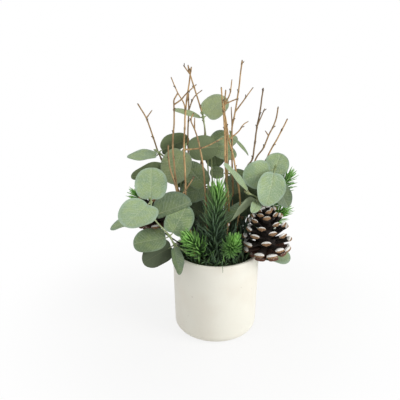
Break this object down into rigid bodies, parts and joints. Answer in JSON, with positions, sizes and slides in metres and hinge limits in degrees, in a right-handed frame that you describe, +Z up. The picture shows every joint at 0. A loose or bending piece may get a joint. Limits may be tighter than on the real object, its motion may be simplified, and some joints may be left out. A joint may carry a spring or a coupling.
{
  "type": "potted artificial foliage arrangement",
  "caption": "Artificial tabletop winter arrangement: round eucalyptus leaves, bare twigs, pine picks and frosted cones in foam and moss, in a plain tapered ceramic pot.",
  "frame": {"origin": "centre of the pot's underside", "axes": "+Z up along the pot's axis, -Y towards the front of the arrangement, +X to its right as seen from the front"},
  "size_m": [0.2055, 0.1772, 0.3121],
  "materials": {
    "pot": "matte off-white ceramic with a soft rim",
    "foam": "dry green floral foam",
    "moss": "dark green moss",
    "stem": "pale yellow-green plastic over wire",
    "leaf": "printed cloth leaf with pale veins, soft blue-green",
    "twig": "dry tan bark with darker nodes",
    "wire": "green-grey florist wire",
    "cone": "dark brown scales with white frosted tips",
    "needle": "moulded needles, dark green with lime tips"
  },
  "bodies": {
    "pot": {"pot": "pot"},
    "insert": {"stem_left_front": "stem", "leaves_left_front_1": "leaf", "leaves_left_front_2": "leaf", "leaves_left_front_3": "leaf", "leaves_left_front_4": "leaf", "stem_upper_left": "stem", "leaves_upper_left_1": "leaf", "leaves_upper_left_2": "leaf", "stem_centre_left": "stem", "leaves_centre_left_1": "leaf", "stem_tall": "stem", "leaves_tall_1": "leaf", "leaves_tall_2": "leaf", "leaves_tall_3": "leaf", "stem_fork": "stem", "leaves_fork_1": "leaf", "stem_back_middle": "stem", "leaves_back_middle_1": "leaf", "leaves_back_middle_2": "leaf", "leaves_back_middle_3": "leaf", "stem_right": "stem", "leaves_right_1": "leaf", "leaves_right_2": "leaf", "stem_low_right": "stem", "leaves_low_right_1": "leaf", "leaves_low_right_2": "leaf", "leaves_low_right_3": "leaf", "stem_back_left": "stem", "leaves_back_left_1": "leaf", "leaves_back_left_2": "leaf", "stem_back_right": "stem", "leaves_back_right_1": "leaf", "twig_1": "twig", "twig_2": "twig", "twig_3": "twig", "twig_4": "twig", "twig_5": "twig", "twig_6": "twig", "twig_7": "twig", "twig_8": "twig", "twig_9": "twig", "twig_10": "twig", "twig_11": "twig", "twig_12": "twig", "twig_13": "twig", "twig_14": "twig", "cone_wire_right": "wire", "pine_cone_right": "cone", "cone_wire_left": "wire", "pine_cone_left": "cone", "pine_pick_centre": "needle", "pine_pick_front": "needle", "pine_pick_left_front": "needle", "pine_pick_far_right": "needle", "pine_pick_behind_cone": "needle", "pine_pick_left_back": "needle", "pine_pick_back": "needle", "foam_plug": "foam", "moss": "moss"}
  },
  "joints": [
    {"name": "insert_lift", "type": "slide", "parent": "pot", "child": "insert", "axis": [0, 0, 1], "range_m": [0, 0.11]}
  ]
}
